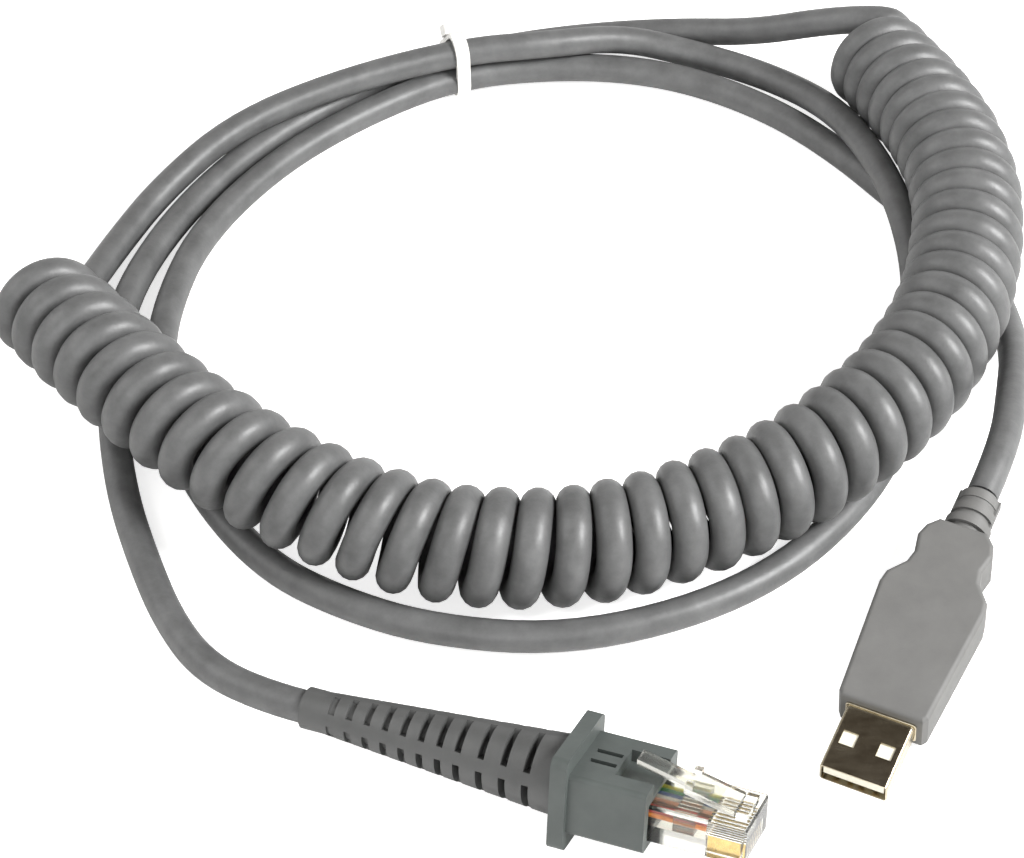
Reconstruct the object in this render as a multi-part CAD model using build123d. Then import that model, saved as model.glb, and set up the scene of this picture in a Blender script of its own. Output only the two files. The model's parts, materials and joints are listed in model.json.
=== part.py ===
"""Coiled interface cable for a hand-held barcode scanner.

A USB type A plug is on one end and an eight-contact modular plug on the other, with
a curly section between two plain tails.  The cable is stored as one round loop,
held by a cable tie, and lies on a surface at z = 0.

Millimetres, +Z up.  The origin is on that surface, below the middle of the two
plugs' common box.
"""
from build123d import *
from math import cos, hypot, pi, radians, sin, tan
import os

# ---------------------------------------------------------------- driving sizes
CORD_D = 5.8                  # outside diameter of the round jacket
CORD_R = CORD_D / 2
COIL_OD = 21.4                # outside diameter of the curly section
COIL_TURNS = 46
WINDING_R = (COIL_OD - CORD_D) / 2
USB_STRAIGHT, RJ_STRAIGHT = 13.0, 9.0   # each tail leaves its plug straight for this far

# USB plug: along the plug from the shell's root, +x towards the tip, window side up
USB_ROOT = (37.3, -5.2, 4.5)
USB_YAW, USB_PITCH, USB_ROLL = -115.3, -10.0, 0.0
SHELL_W, SHELL_H, SHELL_WALL = 12.0, 4.5, 0.3
SHELL_OUT = 13.0              # length of shell that stands out of the overmould
SHELL_IN = 5.75               # length of shell held inside it
SHELL_CORNER_R = 0.6
WINDOW = 2.7                  # square window in the shell
WINDOW_PITCH = 6.6            # between the two windows' centres
WINDOW_FROM_TIP = 6.4         # from the tip to their centres
USB_BODY_H = 8.6              # overmould thickness
USB_BODY_L = 40.0             # overmould length
USB_RELIEF_L = 9.0            # ringed strain relief behind it

# modular plug: along the plug from the front face of the flange, latch side up
RJ_ROOT = (-13.35, -23.13, 10.97)
RJ_YAW, RJ_PITCH, RJ_ROLL = -22.0, 4.5, -17.0
BLOCK_L, BLOCK_W, BLOCK_H = 13.3, 15.4, 11.4
FLANGE_T, FLANGE_W, FLANGE_H = 2.8, 17.6, 17.4
FLANGE_DROP = 0.3             # flange centre below the plug's axis
HOUSING_W, HOUSING_L = 11.68, 21.5
HOUSING_BOTTOM, HOUSING_TOP = -4.2, 2.4
HOUSING_X0 = 8.3              # back end of the housing, inside the block
HOUSING_X1 = HOUSING_X0 + HOUSING_L
LATCH_ROOT_X, LATCH_FREE_X = 26.2, 9.4
LATCH_ROOT_Z = HOUSING_TOP + 0.75
LATCH_RISE = 4.1              # height of the free end above the root
LATCH_T = 1.1
BOOT_L, BOOT_BIG_R, BOOT_SMALL_R = 47.3, 7.0, 3.6
BOOT_COLLAR = 4.0             # plain length at the boot's small end
BOOT_SLITS, BOOT_SLIT_W = 11, 1.25
BOOT_WEB = 2.2                # thickness of the webs between the slits
BOOT_CORE = 0.45              # wall left under the slits
BOOT_TURN = 30                # the rows of slits are turned round the boot's axis
WIRE_R = 0.38
WIRE_PITCH = 1.02             # modular contact pitch
CONTACTS = 8

# ---------------------------------------------------------------- cord routes
# Scanner tail: modular plug, under the curly section, through the tie beneath the
# host tail, and up to the top of the curly section's back end.
SCANNER_ROUTE = [
    (-78.3, 7.0, 4.6), (-85.2, 18.8, 3.2), (-90.8, 33.0, 2.95), (-96.0, 49.0, 2.95),
    (-99.5, 67.7, 2.95), (-101.3, 88.0, 2.95), (-99.3, 107.0, 2.95), (-90.1, 129.6, 2.95),
    (-76.6, 149.0, 2.95), (-58.2, 165.2, 3.3), (-36.2, 175.95, 4.1), (-20.5, 181.4, 3.6),
    (-5.2, 184.4, 3.4), (10.4, 184.6, 4.2), (26.0, 178.8, 8.4), (40.2, 171.0, 17.4),
    (48.8, 166.2, 20.7),
]
# Host tail: bottom of the curly section's left end, over the scanner tail, through
# the tie, round the front outside the curly section, through the tie again beneath
# itself, and under the curly section to the USB plug.
HOST_ROUTE = [
    (-113.8, 89.2, 6.0), (-108.3, 102.9, 3.8), (-103.5, 116.9, 2.95), (-95.5, 133.4, 3.9),
    (-81.5, 147.9, 8.4), (-60.9, 160.0, 9.8), (-36.2, 170.2, 10.0), (-18.0, 172.9, 9.8),
    (-2.0, 178.6, 7.3), (13.6, 177.0, 4.0), (28.8, 168.4, 4.8), (41.0, 153.4, 8.4),
    (47.9, 137.3, 9.1), (51.9, 122.1, 8.6), (53.9, 107.0, 4.6), (51.7, 91.2, 2.95),
    (48.9, 72.4, 2.95), (41.1, 51.7, 2.95), (25.6, 32.5, 2.95), (6.7, 20.5, 2.95),
    (-17.1, 14.0, 2.95), (-40.1, 16.6, 2.95), (-56.4, 23.4, 2.95), (-68.6, 31.6, 2.95),
    (-79.9, 46.5, 2.95), (-88.2, 65.4, 2.95), (-92.0, 82.5, 2.95), (-92.1, 98.7, 2.95),
    (-87.2, 120.3, 2.95), (-73.6, 142.2, 2.95), (-55.8, 158.5, 3.3), (-36.2, 169.8, 4.1),
    (-15.5, 173.8, 3.3), (1.8, 173.0, 2.95), (16.7, 167.5, 2.95), (31.2, 157.6, 2.95),
    (43.0, 144.7, 2.95), (51.8, 132.1, 2.95), (61.0, 120.0, 2.95), (67.6, 108.1, 2.95),
    (70.1, 94.8, 3.6), (69.4, 80.2, 8.2), (66.5, 65.2, 13.6),
]
# Middle line of the curly section, from its back end round to its left end.
COIL_ROUTE = [
    (48.8, 166.2, 12.9), (56.5, 148.9, 15.2), (61.7, 131.1, 17.0), (63.4, 113.8, 17.3),
    (60.9, 97.0, 17.0), (56.6, 81.8, 16.9), (48.0, 65.3, 16.8), (36.3, 51.8, 16.4),
    (22.9, 42.1, 14.1), (6.4, 34.7, 11.6), (-10.1, 29.5, 10.8), (-24.6, 28.2, 10.8),
    (-40.2, 29.5, 11.5), (-57.9, 35.4, 13.9), (-73.8, 44.5, 16.5), (-88.9, 57.9, 17.1),
    (-102.7, 73.8, 16.9), (-113.8, 89.2, 13.8),
]

# ---------------------------------------------------------------- cable tie
TIE_AT = (-36.2, 169.8)       # below the nearest strand
TIE_YAW = 17.5
TIE_BAND_W, TIE_BAND_T = 2.8, 1.05
TIE_STRANDS = [(0.0, 4.1), (5.87, 4.1), (0.4, 9.97)]   # across and above TIE_AT: near, far, top
TIE_EASE = 0.15               # gap between the band and the strands
TIE_HEAD = (3.8, 4.2, 2.3)    # along the cords, down the band's slope, thick
TIE_HEAD_DOWN = 2.5           # from the slope's upper end to the head's middle


# ---------------------------------------------------------------- helpers
def plug_plane(root, yaw, pitch, roll):
    """Plane with +x along a plug towards its tip and +z out of its upper face."""
    yaw, pitch, roll = radians(yaw), radians(pitch), radians(roll)
    axis = Vector(cos(yaw) * cos(pitch), sin(yaw) * cos(pitch), sin(pitch))
    side = Vector(sin(yaw), -cos(yaw), 0)
    normal = side.cross(axis)
    upper = normal * cos(roll) + side * sin(roll)
    return Plane(origin=root, x_dir=axis, z_dir=upper)


def block(x0, x1, y0, y1, z0, z1):
    """Box between two corners."""
    return Pos((x0 + x1) / 2, (y0 + y1) / 2, (z0 + z1) / 2) * Box(x1 - x0, y1 - y0, z1 - z0)


def rod(x0, x1, radius, y=0.0, z=0.0):
    """Round bar along x."""
    return Pos((x0 + x1) / 2, y, z) * Rot(0, 90, 0) * Cylinder(radius, x1 - x0)


def rounded_bar(x0, x1, width, height, corner, z=0.0):
    """Bar along x whose section is a rounded rectangle."""
    section = Plane((x0, 0, z), x_dir=(0, 1, 0), z_dir=(1, 0, 0)) * RectangleRounded(width, height, corner)
    return extrude(section, x1 - x0)


def corner_radii(points):
    """Largest easy arc at each corner: 0.45 of the shorter run over tan(turn / 2)."""
    radii = []
    for before, here, after in zip(points, points[1:], points[2:]):
        run_in = Vector(here) - Vector(before)
        run_out = Vector(after) - Vector(here)
        turn = radians(run_in.get_angle(run_out))
        radii.append(0.45 * min(run_in.length, run_out.length) / tan(turn / 2))
    return radii


def tube(name, points, radius):
    """Tube along straight runs joined by tangent arcs."""
    radii = corner_radii(points)
    path = FilletPolyline(*points, radius=radii).wire()
    start = path.location_at(0)
    solid = sweep(Plane(start) * Circle(radius), path=path)
    wanted = pi * radius ** 2 * path.length
    print(f"{name}: length {path.length:.1f} mm, tightest arc {min(radii):.1f} mm,",
          f"volume / (section x length) {solid.volume / wanted:.4f}")
    return solid


def along(plane, x):
    """Point on a plug's own axis, as a plain tuple."""
    point = plane.from_local_coords((x, 0, 0))
    return (point.X, point.Y, point.Z)


# ---------------------------------------------------------------- USB plug
def usb_parts():
    """Every piece of the USB plug, in the plug's own frame."""
    tip = SHELL_OUT
    inner_w, inner_h = SHELL_W - 2 * SHELL_WALL, SHELL_H - 2 * SHELL_WALL
    outside = rounded_bar(-SHELL_IN, tip, SHELL_W, SHELL_H, SHELL_CORNER_R)
    inside = rounded_bar(-SHELL_IN, tip, inner_w, inner_h, SHELL_CORNER_R - SHELL_WALL)
    shell = outside - inside
    window_x = tip - WINDOW_FROM_TIP
    for side in (-1, 1):
        y = side * WINDOW_PITCH / 2
        shell -= Pos(window_x, y, 0) * Box(WINDOW, WINDOW, SHELL_H + 1)

    # The insulator: a carrier that fills the back of the shell, with a tongue
    # against the shell's upper wall.
    tongue_floor = -0.15
    strip_t = 0.25
    top = inner_h / 2
    carrier = block(-SHELL_IN, -0.6, -inner_w / 2 + 0.35, inner_w / 2 - 0.35, -top, top)
    tongue = block(-0.6, tip - 0.12, -inner_w / 2 + 0.35, inner_w / 2 - 0.35, tongue_floor, top)
    insulator = carrier + tongue
    strips = []
    for y, length in ((-3.5, 8.6), (-1.0, 7.6), (1.0, 7.6), (3.5, 8.6)):
        strips.append(block(tip - 1.2 - length, tip - 1.2, y - 0.5, y + 0.5,
                            tongue_floor - strip_t, tongue_floor))

    # Inner mould round the joints, with the cable's end in its back wall.
    pre_x0, wall = -16.0, 1.2
    pre_w, pre_h = 11.0, 6.4
    premould = block(pre_x0, -SHELL_IN, -pre_w / 2, pre_w / 2, -pre_h / 2, pre_h / 2)
    premould -= block(pre_x0 + wall, -SHELL_IN, -pre_w / 2 + wall, pre_w / 2 - wall,
                      -pre_h / 2 + wall, pre_h / 2 - wall)
    premould -= rod(pre_x0, pre_x0 + wall, CORD_R)
    jacket_x1 = pre_x0 + wall
    jacket_x0 = -USB_BODY_L - USB_RELIEF_L
    jacket = rod(jacket_x0, jacket_x1, CORD_R)
    crimp = rod(-22.0, -17.0, CORD_R + 0.4) - rod(-22.0, -17.0, CORD_R)

    wires = {}
    ends = {"usb_wire_red": -3.5, "usb_wire_white": -1.0, "usb_wire_green": 1.0, "usb_wire_black": 3.5}
    for number, (name, y) in enumerate(ends.items()):
        angle = radians(180 - 45 - 30 * number)
        start = (jacket_x1, 1.7 * cos(angle) * 1.2, 1.0 * sin(angle))
        points = [start, (start[0] + 2.0, start[1], start[2]), (-SHELL_IN - 2.2, y, 0.2),
                  (-SHELL_IN - 0.05, y, 0.2)]
        path = FilletPolyline(*points, radius=[0.9, 0.9]).wire()
        wires[name] = sweep(Plane(path.location_at(0)) * Circle(0.4), path=path)

    # Overmould: a flat body that widens to a shoulder, then a narrower grip.
    half = [(0.0, 7.3), (-1.0, 8.0), (-24.0, 9.6), (-26.4, 9.2), (-29.6, 6.7), (-32.0, 6.2),
            (-35.6, 6.9), (-38.0, 6.2), (-USB_BODY_L, 4.4)]
    outline = half + [(x, -y) for x, y in reversed(half)]
    body = extrude(make_face(Polyline(*outline, close=True)), USB_BODY_H / 2, both=True)
    rims = [e for e in body.edges() if abs(abs(e.center().Z) - USB_BODY_H / 2) < 0.01]
    body = fillet(rims, 0.9)
    for filled in (outside, block(pre_x0, -SHELL_IN, -pre_w / 2, pre_w / 2, -pre_h / 2, pre_h / 2),
                   rod(-22.0, -17.0, CORD_R + 0.4), rod(-USB_BODY_L, pre_x0, CORD_R)):
        body -= filled

    # Strain relief: a core with three rings, split by slits above and below.
    relief = rod(jacket_x0, -USB_BODY_L, CORD_R + 0.5)
    for number in range(3):
        x = -USB_BODY_L - 1.0 - number * 3.0
        relief += rod(x - 1.7, x, 4.2 - 0.3 * number)
    for number in range(3):
        x = -USB_BODY_L - 1.0 - number * 3.0
        for side in (-1, 1):
            relief += block(x - 2.0, x + 1.0, side * 3.2 - 0.6, side * 3.2 + 0.6, -0.9, 0.9)
    relief = relief & rod(jacket_x0, -USB_BODY_L, 4.4)
    relief -= rod(jacket_x0, -USB_BODY_L, CORD_R)

    parts = {
        "usb_shell": shell, "usb_insulator": insulator, "usb_contacts": Compound(children=strips),
        "usb_premould": premould, "usb_overmould": body, "usb_strain_relief": relief,
        "usb_crimp_ring": crimp, "usb_jacket_end": jacket,
    }
    parts.update(wires)
    return parts, jacket_x0


# ---------------------------------------------------------------- modular plug
def rj_housing(cavity):
    """Clear housing with a wire cavity open at its back and contact slots below."""
    body = block(HOUSING_X0, HOUSING_X1, -HOUSING_W / 2, HOUSING_W / 2, HOUSING_BOTTOM, HOUSING_TOP)
    ends = [e for e in body.edges() if e.center().X > HOUSING_X1 - 0.01]
    body = chamfer(ends, 0.35)
    # pads that carry the latch's root, beside and in front of it
    pad_x0 = LATCH_ROOT_X + LATCH_T / 2 + 0.25
    body += block(pad_x0, HOUSING_X1 - 0.9, -3.2, 3.2, HOUSING_TOP - 0.2, LATCH_ROOT_Z + LATCH_T / 2)
    body -= cavity
    for number in range(CONTACTS):
        y = (number - (CONTACTS - 1) / 2) * WIRE_PITCH
        body -= block(22.9, HOUSING_X1 - 1.0, y - 0.25, y + 0.25, HOUSING_BOTTOM - 1, -0.9)
    return body


def rj_latch():
    """Locking tab: a wide root that steps to a narrow tongue, rising to its free end."""
    run = LATCH_ROOT_X - LATCH_FREE_X
    slope = LATCH_RISE / run
    lower, upper = -LATCH_T / 2, LATCH_T / 2
    profile = make_face(Polyline(
        (LATCH_ROOT_X + 0.5, LATCH_ROOT_Z + lower), (LATCH_ROOT_X + 0.5, LATCH_ROOT_Z + upper),
        (LATCH_FREE_X, LATCH_ROOT_Z + LATCH_RISE + upper),
        (LATCH_FREE_X, LATCH_ROOT_Z + LATCH_RISE + lower),
        (LATCH_ROOT_X - 1.0, LATCH_ROOT_Z + slope + lower), close=True))
    wide, narrow = 6.0, 3.2
    step_x = LATCH_ROOT_X - 8.2
    tab = extrude(Plane.XZ * profile, wide / 2, both=True)
    for side in (-1, 1):
        y0, y1 = sorted((side * narrow / 2, side * (wide / 2 + 1)))
        tab -= block(LATCH_FREE_X - 1, step_x, y0, y1, 0, 12)
    # locking shoulders stand up at the step
    for side in (-1, 1):
        y0, y1 = sorted((side * narrow / 2, side * wide / 2))
        rise = LATCH_ROOT_Z + slope * (LATCH_ROOT_X - step_x)
        tab += block(step_x, step_x + 1.4, y0, y1, rise - 0.4, rise + 1.25)
    return tab


def rj_parts():
    """Every piece of the modular plug, in the plug's own frame."""
    cavity = block(HOUSING_X0 - 1, 22.9, -4.45, 4.45, -1.7, 1.3)
    housing_seat = block(HOUSING_X0, BLOCK_L + 1, -HOUSING_W / 2, HOUSING_W / 2,
                         HOUSING_BOTTOM, HOUSING_TOP)
    parts = {"rj_housing": rj_housing(cavity), "rj_latch": rj_latch()}

    blades = []
    for number in range(CONTACTS):
        y = (number - (CONTACTS - 1) / 2) * WIRE_PITCH
        blades.append(block(23.1, HOUSING_X1 - 1.2, y - 0.15, y + 0.15, HOUSING_BOTTOM + 0.25, -1.0))
    parts["rj_contacts"] = Compound(children=blades)

    # wires: round the cable's end in a ring, then side by side into the housing
    jacket_x1 = 2.0
    colours = ["orange", "red", "brown", "peach", "white", "blue", "green", "yellow"]
    row_z = -0.25
    load_bar = block(17.2, 20.8, -4.4, 4.4, -1.65, 1.25)
    for number, colour in enumerate(colours):
        ring = radians(180 - 22.5 - 45 * (number // 2)) * (1 if number % 2 else -1)
        start = (jacket_x1, 1.75 * cos(ring), 1.75 * sin(ring))
        y = (number - (CONTACTS - 1) / 2) * WIRE_PITCH
        points = [start, (start[0] + 1.0, start[1], start[2]), (8.6, y, row_z), (22.6, y, row_z)]
        path = FilletPolyline(*points, radius=[0.8, 3.0]).wire()
        wire = sweep(Plane(path.location_at(0)) * Circle(WIRE_R), path=path)
        parts[f"rj_wire_{colour}"] = wire
        load_bar -= rod(16, 22, WIRE_R, y, row_z)
    parts["rj_load_bar"] = load_bar

    # moulded back shell: block and flange in one piece
    shell = rounded_bar(0, BLOCK_L, BLOCK_W, BLOCK_H, 0.9, -0.2)
    shell += rounded_bar(-FLANGE_T, 0, FLANGE_W, FLANGE_H, 1.6, -FLANGE_DROP)
    shell -= housing_seat
    shell -= block(jacket_x1, HOUSING_X0, -4.6, 4.6, -2.6, 2.6)
    shell -= rod(-FLANGE_T, jacket_x1, CORD_R)
    latch_bay_floor = HOUSING_TOP + 0.9
    shell -= block(6.6, BLOCK_L + 1, -4.0, 4.0, latch_bay_floor, 10)
    for y in (-2.2, 0.9):
        shell -= block(1.4, 6.0, y, y + 1.0, BLOCK_H / 2 - 1.1, 10)
    ferrule_x = (-1.8, 1.2)
    shell -= rod(*ferrule_x, CORD_R + 0.45)
    parts["rj_backshell"] = shell
    parts["rj_crimp_ring"] = rod(*ferrule_x, CORD_R + 0.45) - rod(*ferrule_x, CORD_R)

    # ribbed boot: a tapered sleeve with rings of four slits, apart from four webs
    # that join the ribs
    boot_x1 = -FLANGE_T
    boot_x0 = boot_x1 - BOOT_L
    profile = make_face(Polyline((boot_x0, CORD_R), (boot_x0, BOOT_SMALL_R),
                                 (boot_x0 + BOOT_COLLAR, BOOT_SMALL_R), (boot_x1, BOOT_BIG_R),
                                 (boot_x1, CORD_R), close=True))
    boot = revolve(Plane.XZ * profile, Axis.X)
    slit_x = boot_x0 + BOOT_COLLAR + 1.2
    for number in range(BOOT_SLITS):
        reach = (slit_x - boot_x0 - BOOT_COLLAR) / (BOOT_L - BOOT_COLLAR)
        outer = BOOT_SMALL_R + (BOOT_BIG_R - BOOT_SMALL_R) * reach + 1
        slit_x1 = slit_x + BOOT_SLIT_W
        ring = rod(slit_x, slit_x1, outer) - rod(slit_x, slit_x1, CORD_R + BOOT_CORE)
        for turn in (45 + BOOT_TURN, 135 + BOOT_TURN):
            ring -= Rot(turn, 0, 0) * block(slit_x - 1, slit_x1 + 1, -outer, outer,
                                            -BOOT_WEB / 2, BOOT_WEB / 2)
        boot -= ring
        slit_x += 3.4 if number < 7 else 4.2
    parts["rj_boot"] = boot
    parts["rj_jacket_end"] = rod(boot_x0, jacket_x1, CORD_R)
    return parts, boot_x0


# ---------------------------------------------------------------- cable tie
def tie_parts():
    """Band pulled tight round three stacked strands, with its head on the far slope."""
    near, far, top = TIE_STRANDS
    middles = make_face(Polyline(near, far, top, close=True))
    clear = CORD_R + TIE_EASE
    section = offset(middles, clear + TIE_BAND_T) - offset(middles, clear)
    across_cords = Plane((0, 0, 0), x_dir=(0, 1, 0), z_dir=(1, 0, 0))
    band = extrude(across_cords * section, TIE_BAND_W / 2, both=True)
    down = Vector(0, far[0] - top[0], far[1] - top[1]).normalized()
    outward = Vector(1, 0, 0).cross(down)
    seat = Vector(0, *top) + down * TIE_HEAD_DOWN + outward * (clear + TIE_BAND_T)
    length, width, high = TIE_HEAD
    head = block(-length / 2, length / 2, -width / 2, width / 2, 0, high)
    head = fillet(head.edges().filter_by(Axis.Z), 0.7)
    head = Plane(seat, x_dir=(1, 0, 0), z_dir=outward).location * head
    place = Pos(TIE_AT[0], TIE_AT[1], 0) * Rot(0, 0, TIE_YAW)
    return {"tie_band": place * band, "tie_head": place * head}


# ---------------------------------------------------------------- build
def build():
    """All nodes at rest, in the part's frame."""
    nodes = {}
    usb_plane = plug_plane(USB_ROOT, USB_YAW, USB_PITCH, USB_ROLL)
    rj_plane = plug_plane(RJ_ROOT, RJ_YAW, RJ_PITCH, RJ_ROLL)
    usb, usb_exit = usb_parts()
    rj, rj_exit = rj_parts()
    for name, shape in usb.items():
        nodes[name] = usb_plane.location * shape
    for name, shape in rj.items():
        nodes[name] = rj_plane.location * shape
    nodes.update(tie_parts())
    scanner_exit = [along(rj_plane, rj_exit), along(rj_plane, rj_exit - RJ_STRAIGHT)]
    host_exit = [along(usb_plane, usb_exit - USB_STRAIGHT), along(usb_plane, usb_exit)]
    scanner_points = scanner_exit + SCANNER_ROUTE
    host_points = HOST_ROUTE + host_exit
    for label, points in (("scanner tail starts", scanner_exit), ("host tail ends", host_exit)):
        print(label, [[round(value, 2) for value in point] for point in points])
    nodes["scanner_tail"] = tube("scanner_tail", scanner_points, CORD_R)
    nodes["host_tail"] = tube("host_tail", host_points, CORD_R)
    nodes["curly_section"] = tube("curly_section", COIL_ROUTE, COIL_OD / 2)
    middle_line = sum((Vector(b) - Vector(a)).length for a, b in zip(COIL_ROUTE, COIL_ROUTE[1:]))
    turn = hypot(2 * pi * WINDING_R, middle_line / COIL_TURNS)
    print(f"one turn of the curly section takes {turn:.1f} mm of cord")
    hinge = rj_plane.from_local_coords((LATCH_ROOT_X, 0, LATCH_ROOT_Z))
    print("latch hinge at", hinge, "axis", rj_plane.y_dir * -1)
    return nodes


if __name__ == "__main__":
    os.makedirs("parts", exist_ok=True)
    for node, shape in build().items():
        export_step(shape, f"parts/{node}.step")
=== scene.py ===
"""Looks for a coiled interface cable, tied in one loop and lying on a pale table.

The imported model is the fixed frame.  The one free cord is a single curve from the
modular plug's boot, through the curly section, to the USB plug.  Everything is in
metres, in the frame's own axes.
"""

import json
import math

import bmesh
import bpy
from mathutils import Matrix, Vector


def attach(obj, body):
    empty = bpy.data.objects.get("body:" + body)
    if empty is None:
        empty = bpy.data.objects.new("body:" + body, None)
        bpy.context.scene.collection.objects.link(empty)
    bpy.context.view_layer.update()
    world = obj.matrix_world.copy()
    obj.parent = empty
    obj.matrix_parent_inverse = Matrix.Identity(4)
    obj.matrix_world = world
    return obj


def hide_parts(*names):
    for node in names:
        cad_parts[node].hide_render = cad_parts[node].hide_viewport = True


MM = 0.001
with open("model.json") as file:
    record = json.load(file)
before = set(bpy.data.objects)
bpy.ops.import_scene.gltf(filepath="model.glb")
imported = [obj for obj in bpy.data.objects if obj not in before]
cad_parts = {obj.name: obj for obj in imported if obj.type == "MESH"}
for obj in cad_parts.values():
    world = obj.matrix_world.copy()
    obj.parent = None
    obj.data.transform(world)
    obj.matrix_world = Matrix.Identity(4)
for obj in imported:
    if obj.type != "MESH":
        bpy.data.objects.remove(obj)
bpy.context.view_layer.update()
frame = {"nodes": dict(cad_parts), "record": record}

# ---------------------------------------------------------------- driving sizes
CORD_D = 5.8 * MM
WINDING_R = 7.62 * MM            # middle of the cord to the middle line of the curly section
COIL_SWELL = 1.09                # the jacket is a little thicker where it is curled
COIL_TURNS = 46.5                # starts at the top of one end, leaves at the bottom of the other
POINTS_PER_TURN = 14
PITCH_AT_START, PITCH_AT_END = 0.87, 1.13    # relative to the mean pitch
LEAD_IN = math.radians(25)       # part of a turn given up at each end, where the tails join
# unevenness of the turns, in mm: size, rate per turn and start along the coil, and size and
# rate across it
WANDER_ALONG = ((0.10, 1.7, 0.0), (0.07, 0.61, 1.0))
WANDER_ACROSS = (0.06, 2.3)
GUIDE_STEPS, CORD_STEPS = 12, 6  # steps from one control point to the next
CORD_SIDES = 6                   # bevel resolution of the cord's round section

CAMERA_TARGET = (-0.0251, 0.069, 0.0)
CAMERA_ELEVATION = math.radians(45)
CAMERA_DISTANCE = 0.573
CAMERA_LENS, SENSOR = 107.6, 36.0
CAMERA_NEAR, CAMERA_FAR = 0.02, 20

# the USB plug's place, as in the part: root of its shell, then its angles
USB_ROOT = (37.3, -5.2, 4.5)
USB_YAW, USB_PITCH = math.radians(-115.3), math.radians(-10.0)
SHELL_W, SHELL_H = 12.0, 4.5

SMOOTH_ANGLE = 32                # degrees: faces that meet at less than this shade as one
BEVEL_ANGLE, BEVEL_SEGMENTS = 38, 2
GRAIN_SCALE, GRAIN_HEIGHT = 2600.0, 0.00002      # fine grain of moulded plastic

FLOOR_HALF = 3.0                 # metres from the middle of the floor to its edge
FLOOR_GLOW = 0.7                 # strength of the glow that only the camera sees
LIGHT_TARGET = (-0.02, 0.07, 0.01)
# soft square lights: name, side in metres, power in watts, place
LIGHTS = [
    ("key", 0.4, 21.0, (0.77, -0.15, 0.74)),
    ("fill_left", 0.9, 5.5, (-0.85, 0.1, 0.75)),
    ("fill_front", 0.9, 5.0, (-0.1, -0.9, 0.7)),
]


# ---------------------------------------------------------------- camera
def make_camera():
    """The camera looks along +Y, down at the table."""
    data = bpy.data.cameras.new("camera")
    data.lens, data.sensor_width = CAMERA_LENS, SENSOR
    data.clip_start, data.clip_end = CAMERA_NEAR, CAMERA_FAR
    camera = bpy.data.objects.new("camera", data)
    bpy.context.scene.collection.objects.link(camera)
    back = Vector((0, -math.cos(CAMERA_ELEVATION), math.sin(CAMERA_ELEVATION)))
    camera.location = Vector(CAMERA_TARGET) + back * CAMERA_DISTANCE
    camera.rotation_euler = (math.radians(90) - CAMERA_ELEVATION, 0, 0)
    bpy.context.scene.camera = camera


make_camera()

# ---------------------------------------------------------------- the cord's route
# Scanner tail: modular plug, under the curly section, through the tie beneath the host
# tail, and up to the top of the curly section's back end.
SCANNER_ROUTE = [
    (-59.66, -4.42, 7.04), (-67.98, -1.06, 6.33), (-78.3, 7.0, 4.6), (-85.2, 18.8, 3.2),
    (-90.8, 33.0, 2.95), (-96.0, 49.0, 2.95), (-99.5, 67.7, 2.95), (-101.3, 88.0, 2.95),
    (-99.3, 107.0, 2.95), (-90.1, 129.6, 2.95), (-76.6, 149.0, 2.95), (-58.2, 165.2, 3.3),
    (-36.2, 175.95, 4.1), (-20.5, 181.4, 3.6), (-5.2, 184.4, 3.4), (10.4, 184.6, 4.2),
    (26.0, 178.8, 8.4), (40.2, 171.0, 17.4),
]
# Host tail: bottom of the curly section's left end, over the scanner tail, through the
# tie, round the front, through the tie again beneath itself, and under the curly section
# to the USB plug.
HOST_ROUTE = [
    (-108.3, 102.9, 3.8), (-103.5, 116.9, 2.95), (-95.5, 133.4, 3.9), (-81.5, 147.9, 8.4),
    (-60.9, 160.0, 9.8), (-36.2, 170.2, 10.0), (-18.0, 172.9, 9.8), (-2.0, 178.6, 7.3),
    (13.6, 177.0, 4.0), (28.8, 168.4, 4.8), (41.0, 153.4, 8.4), (47.9, 137.3, 9.1),
    (51.9, 122.1, 8.6), (53.9, 107.0, 4.6), (51.7, 91.2, 2.95), (48.9, 72.4, 2.95),
    (41.1, 51.7, 2.95), (25.6, 32.5, 2.95), (6.7, 20.5, 2.95), (-17.1, 14.0, 2.95),
    (-40.1, 16.6, 2.95), (-56.4, 23.4, 2.95), (-68.6, 31.6, 2.95), (-79.9, 46.5, 2.95),
    (-88.2, 65.4, 2.95), (-92.0, 82.5, 2.95), (-92.1, 98.7, 2.95), (-87.2, 120.3, 2.95),
    (-73.6, 142.2, 2.95), (-55.8, 158.5, 3.3), (-36.2, 169.8, 4.1), (-15.5, 173.8, 3.3),
    (1.8, 173.0, 2.95), (16.7, 167.5, 2.95), (31.2, 157.6, 2.95), (43.0, 144.7, 2.95),
    (51.8, 132.1, 2.95), (61.0, 120.0, 2.95), (67.6, 108.1, 2.95), (70.1, 94.8, 3.6),
    (69.4, 80.2, 8.2), (66.5, 65.2, 13.6), (63.39, 50.0, 15.27), (57.92, 38.43, 13.01),
]
# Middle line of the curly section, from its back end round to its left end.
COIL_ROUTE = [
    (48.8, 166.2, 12.9), (56.5, 148.9, 15.2), (61.7, 131.1, 17.0), (63.4, 113.8, 17.3),
    (60.9, 97.0, 17.0), (56.6, 81.8, 16.9), (48.0, 65.3, 16.8), (36.3, 51.8, 16.4),
    (22.9, 42.1, 14.1), (6.4, 34.7, 11.6), (-10.1, 29.5, 10.8), (-24.6, 28.2, 10.8),
    (-40.2, 29.5, 11.5), (-57.9, 35.4, 13.9), (-73.8, 44.5, 16.5), (-88.9, 57.9, 17.1),
    (-102.7, 73.8, 16.9), (-113.8, 89.2, 13.8),
]


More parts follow.
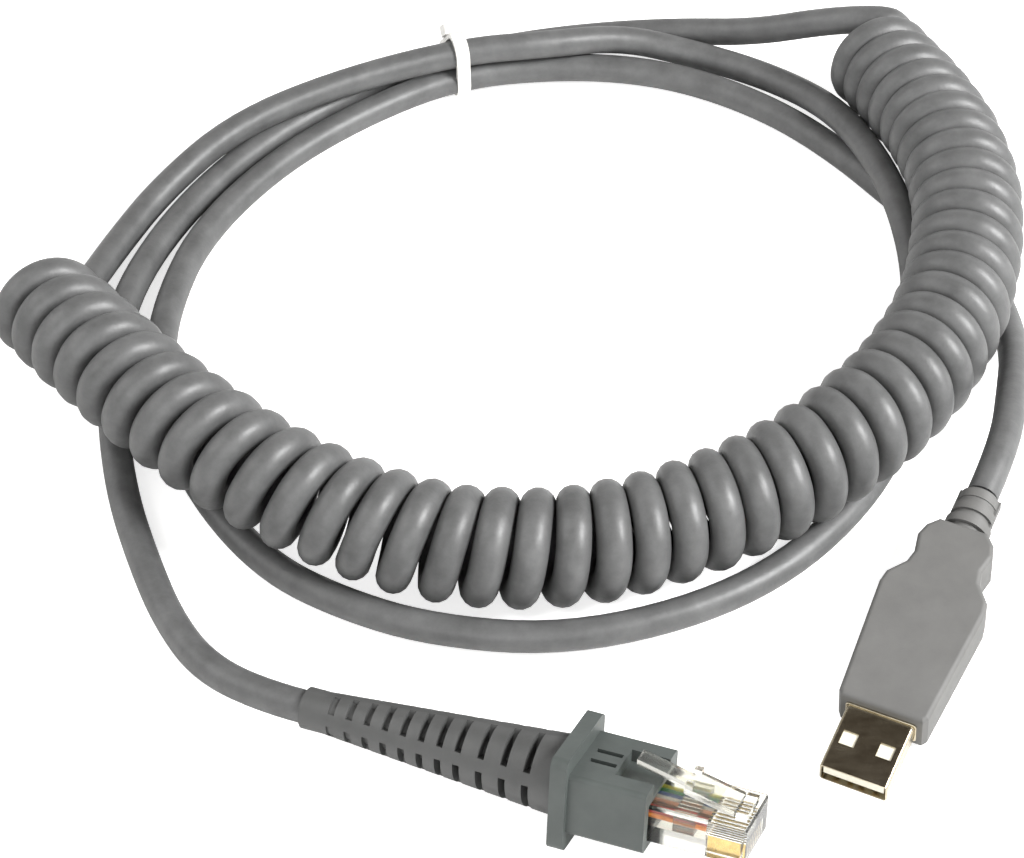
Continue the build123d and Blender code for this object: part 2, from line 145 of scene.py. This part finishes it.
def nurbs_curve(name, points, resolution):
    """Curve object with one open quadratic NURBS spline through these control points."""
    data = bpy.data.curves.new(name, "CURVE")
    data.dimensions = "3D"
    data.resolution_u = resolution
    spline = data.splines.new("NURBS")
    spline.points.add(len(points) - 1)
    for control, point in zip(spline.points, points):
        control.co = (*point, 1.0)
    spline.order_u = 3
    spline.use_endpoint_u = True
    spline.resolution_u = resolution
    curve = bpy.data.objects.new(name, data)
    bpy.context.scene.collection.objects.link(curve)
    return curve


def line_of(points):
    """Points along the smooth line of a route."""
    guide = nurbs_curve("guide", points, GUIDE_STEPS)
    mesh = bpy.data.meshes.new_from_object(guide)
    line = [vertex.co.copy() for vertex in mesh.vertices]
    bpy.data.meshes.remove(mesh)
    bpy.data.objects.remove(guide)
    return line


def metres(route):
    """A route's points, from millimetres."""
    return [Vector(point) * MM for point in route]


def walker(line):
    """Total length of a line, and a function giving its place and direction at any distance."""
    distance = [0.0]
    for before, after in zip(line, line[1:]):
        distance.append(distance[-1] + (after - before).length)

    def place(at):
        at = min(max(at, 0.0), distance[-1])
        low, high = 0, len(distance) - 2
        while low < high:
            number = (low + high + 1) // 2
            if distance[number] <= at:
                low = number
            else:
                high = number - 1
        span = max(distance[low + 1] - distance[low], 1e-9)
        share = (at - distance[low]) / span
        here = line[low].lerp(line[low + 1], share)
        ahead = line[min(low + 2, len(line) - 1)] - line[max(low - 1, 0)]
        return here, ahead.normalized()

    return distance[-1], place


def helix_points():
    """Control points of the curly section's turns, left-handed, from back end to left end."""
    length, place = walker(line_of(metres(COIL_ROUTE)))
    # a quadratic spline runs inside its control points by this share
    outset = 1 / (0.75 + 0.25 * math.cos(2 * math.pi / POINTS_PER_TURN))
    count = int(COIL_TURNS * POINTS_PER_TURN)
    points = []
    lean = (PITCH_AT_END - PITCH_AT_START) / 2
    across, across_rate = WANDER_ACROSS
    for number in range(count + 1):
        share = number / count
        angle = LEAD_IN + share * (2 * math.pi * COIL_TURNS - 2 * LEAD_IN)
        turn = angle / (2 * math.pi)
        wander = sum(size * math.sin(rate * turn + start) for size, rate, start in WANDER_ALONG)
        along = share * (1 - lean) + lean * share * share
        centre, ahead = place(along * length + wander * MM * math.sin(math.pi * share))
        up = Vector((0, 0, 1))
        up = (up - ahead * up.dot(ahead)).normalized()
        side = ahead.cross(up)
        radius = (WINDING_R + across * MM * math.sin(across_rate * turn)) * outset
        points.append(centre + (up * math.cos(angle) - side * math.sin(angle)) * radius)
    return points


def make_cord():
    """The whole cable's jacket: tail, curly section, tail."""
    turns = helix_points()
    route = metres(SCANNER_ROUTE) + turns + metres(HOST_ROUTE)
    cord = nurbs_curve("interface_cord", route, CORD_STEPS)
    first = len(SCANNER_ROUTE)
    for number in range(len(turns)):
        from_end = min(number, len(turns) - 1 - number)
        grown = min(1.0, from_end / POINTS_PER_TURN)
        cord.data.splines[0].points[first + number].radius = 1 + (COIL_SWELL - 1) * grown
    cord.data.bevel_depth = CORD_D / 2
    cord.data.bevel_resolution = CORD_SIDES
    cord.data.use_fill_caps = True
    return cord, route


cord, cord_route = make_cord()


# ---------------------------------------------------------------- material helpers
def material(name, colour, roughness, **sockets):
    """Principled material and its tree; further sockets are set by name."""
    made = bpy.data.materials.new(name)
    made.use_nodes = True
    shader = made.node_tree.nodes["Principled BSDF"]
    shader.inputs["Base Color"].default_value = (*colour, 1)
    shader.inputs["Roughness"].default_value = roughness
    for socket, value in sockets.items():
        shader.inputs[socket.replace("_", " ")].default_value = value
    return made, made.node_tree, shader


def noise(tree, scale, detail=3.0, roughness=0.55, stretch=(1, 1, 1)):
    """Noise in object space, so in metres."""
    place = tree.nodes.new("ShaderNodeTexCoord")
    mapping = tree.nodes.new("ShaderNodeMapping")
    mapping.inputs["Scale"].default_value = stretch
    texture = tree.nodes.new("ShaderNodeTexNoise")
    texture.inputs["Scale"].default_value = scale
    texture.inputs["Detail"].default_value = detail
    texture.inputs["Roughness"].default_value = roughness
    tree.links.new(place.outputs["Object"], mapping.inputs["Vector"])
    tree.links.new(mapping.outputs["Vector"], texture.inputs["Vector"])
    return texture


def ramp(tree, source, stops, output="Fac"):
    """Colour ramp over one output of a node; stops are (place, colour)."""
    node = tree.nodes.new("ShaderNodeValToRGB")
    elements = node.color_ramp.elements
    while len(elements) < len(stops):
        elements.new(0.5)
    for element, (at, colour) in zip(elements, stops):
        element.position = at
        element.color = (*colour, 1)
    tree.links.new(source.outputs[output], node.inputs["Fac"])
    return node


def bump(tree, shader, source, height, strength=1.0, after=None):
    """Bump from a texture's value; height in metres."""
    node = tree.nodes.new("ShaderNodeBump")
    node.inputs["Strength"].default_value = strength
    node.inputs["Distance"].default_value = height
    tree.links.new(source.outputs["Fac"], node.inputs["Height"])
    if after is not None:
        tree.links.new(after.outputs["Normal"], node.inputs["Normal"])
    tree.links.new(node.outputs["Normal"], shader.inputs["Normal"])
    return node


def tone(colour, factor):
    """A colour made lighter or darker."""
    return tuple(min(1.0, channel * factor) for channel in colour)


def roughness_from(tree, shader, source, low, high):
    """Roughness that varies with a texture."""
    node = tree.nodes.new("ShaderNodeMapRange")
    node.inputs["To Min"].default_value = low
    node.inputs["To Max"].default_value = high
    tree.links.new(source.outputs["Fac"], node.inputs["Value"])
    tree.links.new(node.outputs["Result"], shader.inputs["Roughness"])


def moulded(name, colour, roughness, mottle=120.0, swing=0.12):
    """Moulded or extruded plastic: cloudy tone, fine surface grain and uneven gloss."""
    made, tree, shader = material(name, colour, roughness)
    cloud = noise(tree, mottle, detail=4.0, roughness=0.6)
    colours = ramp(tree, cloud, [(0.32, tone(colour, 1 - swing)), (0.52, colour),
                                 (0.72, tone(colour, 1 + swing))])
    tree.links.new(colours.outputs["Color"], shader.inputs["Base Color"])
    smudge = noise(tree, mottle * 3.1, detail=5.0, roughness=0.65)
    roughness_from(tree, shader, smudge, roughness - 0.07, roughness + 0.09)
    fine = noise(tree, GRAIN_SCALE, detail=2.0, roughness=0.5)
    bump(tree, shader, fine, GRAIN_HEIGHT, strength=0.6)
    return made


# ---------------------------------------------------------------- materials
def make_materials():
    """Every material, by the record's slot name."""
    made = {}
    made["cord_pvc"] = cord_jacket()
    made["plug_pvc"] = moulded("plug_pvc", (0.125, 0.124, 0.12), 0.60, mottle=180.0, swing=0.08)
    made["backshell_pvc"] = moulded("backshell_pvc", (0.068, 0.078, 0.074), 0.46, mottle=160.0)
    made["boot_pvc"] = moulded("boot_pvc", (0.074, 0.075, 0.074), 0.44, mottle=150.0)
    made["tie_nylon"] = moulded("tie_nylon", (0.72, 0.71, 0.68), 0.4, mottle=300.0, swing=0.05)
    made["inner_mould"] = moulded("inner_mould", (0.7, 0.7, 0.66), 0.5)
    made["white_insulator"] = moulded("white_insulator", (0.70, 0.67, 0.56), 0.45, swing=0.04)
    made["plated_steel"] = plated_steel()
    made["gold_plating"] = gold_plating()
    made["clear_housing"] = clear_plastic()
    wires = {
        "red": (0.60, 0.06, 0.04), "white": (0.8, 0.8, 0.76), "green": (0.05, 0.3, 0.1),
        "black": (0.02, 0.02, 0.02), "orange": (0.78, 0.24, 0.03), "brown": (0.2, 0.08, 0.03),
        "peach": (0.85, 0.42, 0.28), "blue": (0.08, 0.15, 0.42), "yellow": (0.7, 0.66, 0.06),
    }
    for colour, value in wires.items():
        made[f"wire_{colour}"] = moulded(f"wire_{colour}", value, 0.35, mottle=900.0)
    return made


def cord_jacket():
    """Satin PVC jacket: cloudy tone, fine scuffs, soft unevenness and uneven gloss."""
    colour = (0.097, 0.098, 0.098)
    made, tree, shader = material("cord_pvc", colour, 0.42)
    cloud = noise(tree, 150.0, detail=6.0, roughness=0.68)
    colours = ramp(tree, cloud, [(0.30, tone(colour, 0.74)), (0.5, colour),
                                 (0.70, tone(colour, 1.26))])
    tree.links.new(colours.outputs["Color"], shader.inputs["Base Color"])
    scuffs = noise(tree, 620.0, detail=5.0, roughness=0.7)
    roughness_from(tree, shader, scuffs, 0.34, 0.54)
    swelling = noise(tree, 210.0, detail=2.0, roughness=0.5)
    soft = bump(tree, shader, swelling, 0.0003, strength=0.45)
    grain = noise(tree, 1500.0, detail=3.0, roughness=0.6)
    bump(tree, shader, grain, 0.00005, strength=0.6, after=soft)
    return made


def gold_plating():
    """Thin gold over nickel, a little worn."""
    made, tree, shader = material("gold_plating", (0.85, 0.62, 0.22), 0.28, Metallic=1.0)
    wear = noise(tree, 700.0, detail=4.0, roughness=0.6)
    colours = ramp(tree, wear, [(0.35, (0.74, 0.52, 0.2)), (0.62, (0.88, 0.66, 0.27))])
    tree.links.new(colours.outputs["Color"], shader.inputs["Base Color"])
    roughness_from(tree, shader, wear, 0.2, 0.36)
    return made


def plated_steel():
    """Nickel-plated sheet with fine rolling lines and faint stains."""
    made, tree, shader = material("plated_steel", (0.62, 0.57, 0.47), 0.24, Metallic=1.0)
    lines = noise(tree, 500.0, detail=3.0, roughness=0.6, stretch=(0.25, 1, 1))
    roughness_from(tree, shader, lines, 0.16, 0.34)
    stain = noise(tree, 260.0, detail=4.0, roughness=0.7)
    colours = ramp(tree, stain, [(0.35, (0.47, 0.41, 0.3)), (0.6, (0.61, 0.55, 0.42))])
    tree.links.new(colours.outputs["Color"], shader.inputs["Base Color"])
    bump(tree, shader, lines, 0.00001, strength=0.4)
    return made


def clear_plastic():
    """Clear polycarbonate, with flow marks that break up its reflections."""
    made, tree, shader = material("clear_housing", (0.95, 0.94, 0.88), 0.12, IOR=1.45,
                                  Transmission_Weight=1.0)
    flow = noise(tree, 320.0, detail=3.0, roughness=0.6, stretch=(1, 0.4, 1))
    bump(tree, shader, flow, 0.00006, strength=0.35)
    return made


materials = make_materials()


def dress(piece, name):
    """Give a piece one material in every slot."""
    slots = piece.data.materials
    slots.clear()
    slots.append(materials[name])


def smooth(piece):
    """Smooth shading between faces that meet at less than the limit."""
    piece.data.shade_smooth()
    piece.data.set_sharp_from_angle(angle=math.radians(SMOOTH_ANGLE))


# ---------------------------------------------------------------- carried-over CAD nodes
def slot_of(name):
    """The record's material slot of a CAD node."""
    for part in frame["record"]["subparts"]:
        if part["node"] == name:
            return part["material_slot"]
    return "cord_pvc"


def soften(piece, width):
    """Small moulded radius on a piece's sharp edges."""
    smooth(piece)
    modifier = piece.modifiers.new("moulded_edges", "BEVEL")
    modifier.width = width * MM
    modifier.segments = BEVEL_SEGMENTS
    modifier.limit_method = "ANGLE"
    modifier.angle_limit = math.radians(BEVEL_ANGLE)
    modifier.harden_normals = True


# millimetres
EDGE_RADII = {
    "rj_backshell": 0.35, "rj_housing": 0.22, "rj_latch": 0.15, "rj_boot": 0.15, "usb_shell": 0.08,
    "usb_overmould": 0.3, "usb_strain_relief": 0.12, "tie_band": 0.2, "tie_head": 0.3,
}
for node_name, node in frame["nodes"].items():
    dress(node, slot_of(node_name))
    if node_name in EDGE_RADII:
        soften(node, EDGE_RADII[node_name])


# ---------------------------------------------------------------- USB plug's collar
def usb_place():
    """The USB plug's frame: +x towards the tip, +z out of its window side."""
    flat = math.cos(USB_PITCH)
    axis = Vector((math.cos(USB_YAW) * flat, math.sin(USB_YAW) * flat, math.sin(USB_PITCH)))
    side = Vector((math.sin(USB_YAW), -math.cos(USB_YAW), 0))
    upper = side.cross(axis)
    turn = Matrix((axis, upper.cross(axis), upper)).transposed().to_4x4()
    return Matrix.Translation(Vector(USB_ROOT) * MM) @ turn


def rounded_loop(width, height, corner, steps=6):
    """Points round a rounded rectangle, anticlockwise."""
    points = []
    for number, (right, top) in enumerate(((1, 1), (-1, 1), (-1, -1), (1, -1))):
        middle_x, middle_y = right * (width / 2 - corner), top * (height / 2 - corner)
        for step in range(steps + 1):
            angle = math.pi / 2 * (number + step / steps)
            points.append((middle_x + corner * math.cos(angle),
                           middle_y + corner * math.sin(angle)))
    return points


def make_collar():
    """Thin polished lip where the shell comes out of the overmould."""
    # in mm: distance along the plug, height above the shell, corner radius
    lip = [(-0.1, 0.02, 0.6), (0.32, 0.02, 0.6), (0.38, 0.10, 0.64), (0.38, 0.26, 0.72),
           (0.30, 0.34, 0.76), (-0.1, 0.34, 0.76)]
    mesh = bmesh.new()
    rings = []
    for x, proud, corner in lip:
        outline = rounded_loop(SHELL_W + 2 * proud, SHELL_H + 2 * proud, corner)
        rings.append([mesh.verts.new(Vector((x, y, z)) * MM) for y, z in outline])
    for first, second in zip(rings, rings[1:] + rings[:1]):
        for here in range(len(first)):
            ahead = (here + 1) % len(first)
            mesh.faces.new((first[here], first[ahead], second[ahead], second[here]))
    bmesh.ops.recalc_face_normals(mesh, faces=mesh.faces)
    data = bpy.data.meshes.new("usb_collar")
    mesh.to_mesh(data)
    mesh.free()
    collar = bpy.data.objects.new("usb_collar", data)
    collar.matrix_world = usb_place()
    bpy.context.scene.collection.objects.link(collar)
    smooth(collar)
    dress(collar, "plated_steel")
    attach(collar, "cable")


make_collar()

# ---------------------------------------------------------------- the cord on its body
dress(cord, "cord_pvc")
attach(cord, "cable")
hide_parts("host_tail", "scanner_tail", "curly_section")


# ---------------------------------------------------------------- floor and light
def make_floor():
    """Plain pale table."""
    mesh = bpy.data.meshes.new("floor")
    half = FLOOR_HALF
    corners = [(-half, -half, 0), (half, -half, 0), (half, half, 0), (-half, half, 0)]
    mesh.from_pydata(corners, [], [(0, 1, 2, 3)])
    floor = bpy.data.objects.new("floor", mesh)
    bpy.context.scene.collection.objects.link(floor)
    made, tree, shader = material("floor_paint", (0.9, 0.9, 0.895), 0.7)
    cloud = noise(tree, 3.0)
    colours = ramp(tree, cloud, [(0.3, (0.89, 0.89, 0.885)), (0.7, (0.91, 0.91, 0.905))])
    tree.links.new(colours.outputs["Color"], shader.inputs["Base Color"])
    # the table is overexposed, as on a lit sweep: a glow that only the camera sees
    glow = tree.nodes.new("ShaderNodeEmission")
    glow.inputs["Color"].default_value = (1, 1, 1, 1)
    seen = tree.nodes.new("ShaderNodeLightPath")
    strength = tree.nodes.new("ShaderNodeMath")
    strength.operation = "MULTIPLY"
    strength.inputs[1].default_value = FLOOR_GLOW
    tree.links.new(seen.outputs["Is Camera Ray"], strength.inputs[0])
    tree.links.new(strength.outputs["Value"], glow.inputs["Strength"])
    both = tree.nodes.new("ShaderNodeAddShader")
    tree.links.new(shader.outputs["BSDF"], both.inputs[0])
    tree.links.new(glow.outputs["Emission"], both.inputs[1])
    surface = tree.nodes["Material Output"].inputs["Surface"]
    tree.links.new(both.outputs["Shader"], surface)
    mesh.materials.append(made)


def area_light(name, size, power, place):
    """Square soft light aimed at the object."""
    data = bpy.data.lights.new(name, "AREA")
    data.shape, data.size, data.energy = "SQUARE", size, power
    light = bpy.data.objects.new(name, data)
    light.location = place
    aim = Vector(LIGHT_TARGET) - Vector(place)
    light.rotation_euler = aim.to_track_quat("-Z", "Y").to_euler()
    bpy.context.scene.collection.objects.link(light)


def make_world():
    """White studio walls under a dim brown-grey ceiling."""
    world = bpy.data.worlds.new("studio")
    bpy.context.scene.world = world
    world.use_nodes = True
    tree = world.node_tree
    place = tree.nodes.new("ShaderNodeTexCoord")
    split = tree.nodes.new("ShaderNodeSeparateXYZ")
    tree.links.new(place.outputs["Generated"], split.inputs["Vector"])
    shade = ramp(tree, split, [(0.0, (1, 1, 1)), (0.45, (0.8, 0.8, 0.79)),
                               (0.68, (0.16, 0.14, 0.12)), (0.9, (0.06, 0.05, 0.042))], "Z")
    background = tree.nodes["Background"]
    tree.links.new(shade.outputs["Color"], background.inputs["Color"])
    background.inputs["Strength"].default_value = 1.0


def make_light():
    """One soft key light from the right, and wide fill lights round the table."""
    make_world()
    for light in LIGHTS:
        area_light(*light)
    bpy.context.scene.view_settings.view_transform = "Standard"


make_floor()
make_light()
